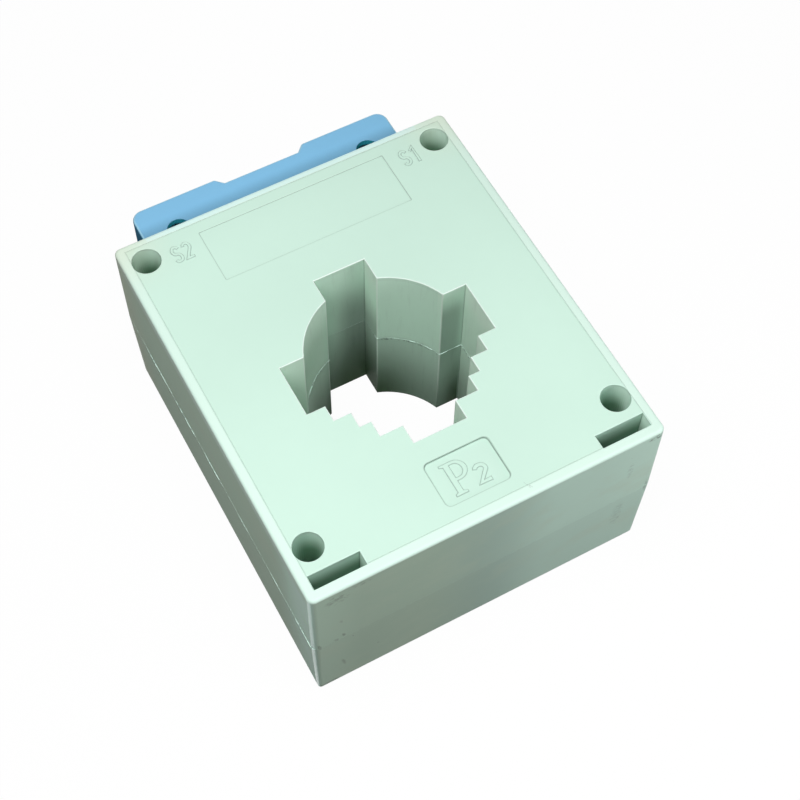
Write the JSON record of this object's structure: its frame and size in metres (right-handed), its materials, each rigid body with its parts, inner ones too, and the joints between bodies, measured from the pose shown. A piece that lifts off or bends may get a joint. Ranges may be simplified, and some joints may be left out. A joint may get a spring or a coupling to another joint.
{
  "type": "current transformer",
  "caption": "Window-type current transformer in a moulded case, with crossed busbar slots, a round bore, a stepped lower edge, corner screw wells and a pull-off terminal cover.",
  "frame": {"origin": "where the window's axis meets the rear face, which the part lies on", "axes": "+Z along the window's axis, out of the front face; +Y towards the terminals; +X towards terminal S1"},
  "size_m": [0.076, 0.0998, 0.0451],
  "materials": {
    "case_plastic": "pale mint moulded plastic, satin",
    "cover_plastic": "sky blue moulded plastic, satin",
    "core_steel": "wound silicon steel strip",
    "film_tape": "polyester film tape",
    "winding_wire": "enamelled copper wire",
    "lead_insulation": "black wire insulation",
    "terminal_brass": "bright brass",
    "screw_steel": "zinc-plated steel"
  },
  "bodies": {
    "housing": {"front_shell": "case_plastic", "rear_shell": "case_plastic", "assembly_screws": "screw_steel", "core": "core_steel", "core_tape": "film_tape", "secondary_winding": "winding_wire", "outer_tape": "film_tape", "lead_s1": "lead_insulation", "lead_s2": "lead_insulation", "terminal_plate_s1": "terminal_brass", "terminal_plate_s2": "terminal_brass", "terminal_nut_s1": "terminal_brass", "terminal_nut_s2": "terminal_brass"},
    "cover": {"terminal_cover": "cover_plastic"},
    "screw_s1": {"terminal_screw_s1": "screw_steel", "terminal_clamp_s1": "screw_steel", "spring_washer_s1": "screw_steel"},
    "screw_s2": {"terminal_screw_s2": "screw_steel", "terminal_clamp_s2": "screw_steel", "spring_washer_s2": "screw_steel"}
  },
  "joints": [
    {"name": "cover_pull_off", "type": "slide", "parent": "housing", "child": "cover", "axis": [0, 1, 0], "range_m": [0, 0.02]},
    {"name": "screw_s1_back_off", "type": "slide", "parent": "housing", "child": "screw_s1", "axis": [0, 1, 0], "range_m": [0, 0.0025]},
    {"name": "screw_s2_back_off", "type": "slide", "parent": "housing", "child": "screw_s2", "axis": [0, 1, 0], "range_m": [0, 0.0025]}
  ]
}
